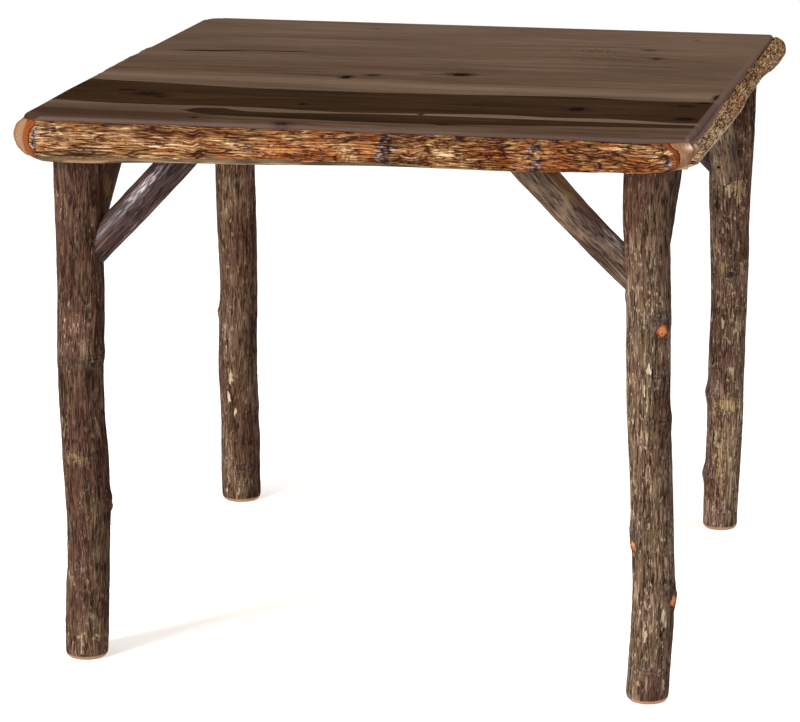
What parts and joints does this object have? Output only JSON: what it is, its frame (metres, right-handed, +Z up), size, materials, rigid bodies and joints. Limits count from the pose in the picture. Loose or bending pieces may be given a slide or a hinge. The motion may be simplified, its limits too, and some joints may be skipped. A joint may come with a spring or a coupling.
{
  "type": "rustic hickory table",
  "caption": "Square rustic table: a plank top edged with half-log bark rails, on natural bark-on log legs stiffened by diagonal log corner braces.",
  "frame": {"origin": "centre of the footprint, on the floor that the four feet stand on", "axes": "+Z up, +X to the right along the planks and the front rail, -Y towards the front"},
  "size_m": [0.9281, 0.9205, 0.762],
  "materials": {
    "top_plank": "clear satin finish over stained hickory with dark heartwood streaks",
    "edge_bark": "varnished bark, orange brown, with bare wood at the corners",
    "leg_bark": "varnished furrowed grey brown bark",
    "brace_bark": "varnished smooth purplish brown bark",
    "frame_board": "planed, unstained",
    "wedge_wood": "split hardwood",
    "screw_steel": "zinc plated",
    "nail_steel": "dark bright-drawn finish nail"
  },
  "bodies": {
    "root": {"top_plank_1": "top_plank", "top_plank_2": "top_plank", "top_plank_3": "top_plank", "top_plank_4": "top_plank", "top_plank_5": "top_plank", "edge_rail_front": "edge_bark", "edge_rail_back": "edge_bark", "edge_rail_left": "edge_bark", "edge_rail_right": "edge_bark", "frame_front": "frame_board", "frame_back": "frame_board", "frame_left": "frame_board", "frame_right": "frame_board", "centre_batten": "frame_board", "leg_front_left": "leg_bark", "brace_front_left_x": "brace_bark", "brace_front_left_y": "brace_bark", "leg_front_right": "leg_bark", "brace_front_right_x": "brace_bark", "brace_front_right_y": "brace_bark", "leg_back_left": "leg_bark", "brace_back_left_x": "brace_bark", "brace_back_left_y": "brace_bark", "leg_back_right": "leg_bark", "brace_back_right_x": "brace_bark", "brace_back_right_y": "brace_bark", "tenon_wedges": "wedge_wood", "frame_screws": "screw_steel", "rail_nails": "nail_steel", "brace_nails": "nail_steel"}
  },
  "joints": []
}
